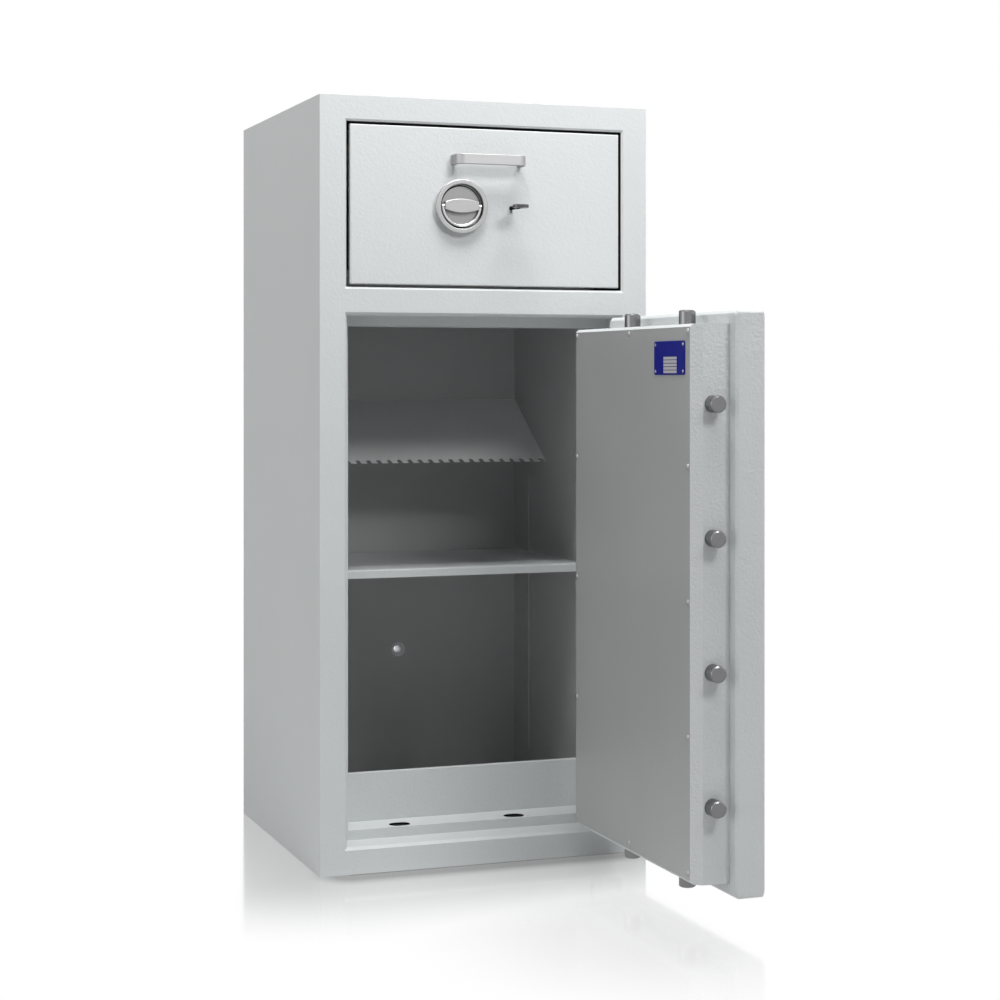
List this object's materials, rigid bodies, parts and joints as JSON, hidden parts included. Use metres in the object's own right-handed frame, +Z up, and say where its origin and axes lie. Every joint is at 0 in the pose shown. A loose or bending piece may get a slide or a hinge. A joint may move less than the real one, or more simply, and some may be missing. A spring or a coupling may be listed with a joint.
{
  "type": "drop safe with deposit drawer",
  "caption": "Grey deposit safe: a front drawer with a tipping floor drops into a compartment behind a thick hinged door with thrown bolts.",
  "frame": {"origin": "centre of the cabinet's footprint, on the floor", "axes": "+X to the right seen from the front, +Y towards the back, +Z up; the drawer front and the shut door face -Y"},
  "size_m": [0.636, 1.187, 1.4],
  "materials": {
    "coat": "light grey textured powder coat",
    "interior": "grey satin paint",
    "cover": "smooth mid grey paint",
    "filling": "cast core, rough",
    "steel": "turned bright steel",
    "zinc": "zinc plated sheet",
    "handle": "satin silver",
    "brass": "milled brass",
    "label": "blue anodised label plate, blank"
  },
  "bodies": {
    "cabinet": {"outer_casing": "coat", "wall_filling": "filling", "front_frame": "coat", "inner_liner": "interior", "floor_apron": "coat", "shelf": "interior", "upright_front_left": "interior", "upright_rear_left": "interior", "upright_front_right": "interior", "upright_rear_right": "interior", "guard_plate": "interior", "anchor_sleeve": "zinc", "hinge_bracket_lower": "coat", "hinge_pin_lower": "steel", "hinge_bracket_upper": "coat", "hinge_pin_upper": "steel", "cabinet_runner_left": "zinc", "cabinet_runner_right": "zinc"},
    "door": {"hinge_strap_lower": "coat", "hinge_strap_upper": "coat", "door_skin": "coat", "door_filling": "filling", "boltwork_case": "coat", "boltwork_cover": "cover", "label_plate": "label", "key_escutcheon": "handle", "door_rosette": "handle", "door_lock_case": "zinc"},
    "door_handle": {"door_grip": "handle", "drive_pinion": "steel"},
    "door_handle_bail": {"door_bail": "handle"},
    "side_boltwork": {"side_carriage": "zinc", "side_bolt_1": "steel", "side_bolt_2": "steel", "side_bolt_3": "steel", "side_bolt_4": "steel"},
    "upper_boltwork": {"upper_carriage": "zinc", "upper_bolt_1": "steel", "upper_bolt_2": "steel"},
    "lower_boltwork": {"lower_carriage": "zinc", "lower_bolt_1": "steel", "lower_bolt_2": "steel"},
    "door_lock": {"door_lock_bolt": "brass"},
    "drawer": {"drawer_front": "coat", "drawer_tray": "zinc", "bow_handle": "handle", "drawer_rosette": "handle", "drawer_lock_case": "zinc", "drawer_runner_left": "zinc", "drawer_runner_right": "zinc"},
    "runner_middles": {"middle_runner_left": "zinc", "middle_runner_right": "zinc"},
    "drawer_floor": {"tipping_floor": "zinc"},
    "drawer_handle": {"drawer_grip": "handle", "drawer_pinion": "steel"},
    "drawer_handle_bail": {"drawer_bail": "handle"},
    "upper_drawer_latch": {"upper_latch": "zinc"},
    "lower_drawer_latch": {"lower_latch": "zinc"},
    "drawer_lock": {"drawer_lock_bolt": "brass"},
    "drawer_key_turn": {"drawer_key": "steel"}
  },
  "joints": [
    {"name": "door_hinge", "type": "hinge", "parent": "cabinet", "child": "door", "pos_m": [0.298, -0.3285, 0], "axis": [0, 0, 1], "range_deg": [-90, 90]},
    {"name": "side_bolts_slide", "type": "slide", "parent": "door", "child": "side_boltwork", "axis": [0, 1, 0], "range_m": [0, 0.0245]},
    {"name": "upper_bolts_slide", "type": "slide", "parent": "door", "child": "upper_boltwork", "axis": [0, 0, -1], "range_m": [0, 0.0245]},
    {"name": "lower_bolts_slide", "type": "slide", "parent": "door", "child": "lower_boltwork", "axis": [0, 0, 1], "range_m": [0, 0.0245]},
    {"name": "door_handle_turn", "type": "hinge", "parent": "door", "child": "door_handle", "pos_m": [0.267, -0.7465, 0.56], "axis": [-1, 0, 0], "range_deg": [0, 90]},
    {"name": "door_bail_fold", "type": "hinge", "parent": "door_handle", "child": "door_handle_bail", "pos_m": [0.274, -0.7465, 0.561], "axis": [0, -1, 0], "range_deg": [0, 90]},
    {"name": "door_lock_slide", "type": "slide", "parent": "door", "child": "door_lock", "axis": [0, -1, 0], "range_m": [0, 0.006]},
    {"name": "drawer_slide", "type": "slide", "parent": "cabinet", "child": "drawer", "axis": [0, -1, 0], "range_m": [0, 0.35]},
    {"name": "runner_middle_slide", "type": "slide", "parent": "cabinet", "child": "runner_middles", "axis": [0, -1, 0], "range_m": [0, 0.175]},
    {"name": "tipping_floor_hinge", "type": "hinge", "parent": "drawer", "child": "drawer_floor", "pos_m": [0, -0.142, 1.094], "axis": [1, 0, 0], "range_deg": [-50, 0]},
    {"name": "drawer_handle_spin", "type": "hinge", "parent": "drawer", "child": "drawer_handle", "pos_m": [-0.0525, -0.2975, 1.20525], "axis": [0, 1, 0], "range_deg": [0, 90]},
    {"name": "drawer_bail_fold", "type": "hinge", "parent": "drawer_handle", "child": "drawer_handle_bail", "pos_m": [-0.0525, -0.3045, 1.20625], "axis": [-1, 0, 0], "range_deg": [0, 90]},
    {"name": "upper_latch_slide", "type": "slide", "parent": "drawer", "child": "upper_drawer_latch", "axis": [0, 0, 1], "range_m": [0, 0.0197]},
    {"name": "lower_latch_slide", "type": "slide", "parent": "drawer", "child": "lower_drawer_latch", "axis": [0, 0, -1], "range_m": [0, 0.0197]},
    {"name": "drawer_lock_slide", "type": "slide", "parent": "drawer", "child": "drawer_lock", "axis": [-1, 0, 0], "range_m": [0, 0.006]},
    {"name": "key_turn", "type": "hinge", "parent": "drawer", "child": "drawer_key_turn", "pos_m": [0.047, -0.2975, 1.20525], "axis": [0, 1, 0], "range_deg": [0, 90.5]}
  ],
  "couplings": [
    {"joint": "door_handle_turn", "follows": "side_bolts_slide", "rad_per_m": 64.103},
    {"joint": "upper_bolts_slide", "follows": "side_bolts_slide", "ratio": 1},
    {"joint": "lower_bolts_slide", "follows": "side_bolts_slide", "ratio": 1},
    {"joint": "runner_middle_slide", "follows": "drawer_slide", "ratio": 0.5},
    {"joint": "upper_latch_slide", "follows": "drawer_handle_spin", "m_per_rad": 0.01248},
    {"joint": "lower_latch_slide", "follows": "drawer_handle_spin", "m_per_rad": 0.01248},
    {"joint": "key_turn", "follows": "drawer_lock_slide", "rad_per_m": 261.8}
  ]
}
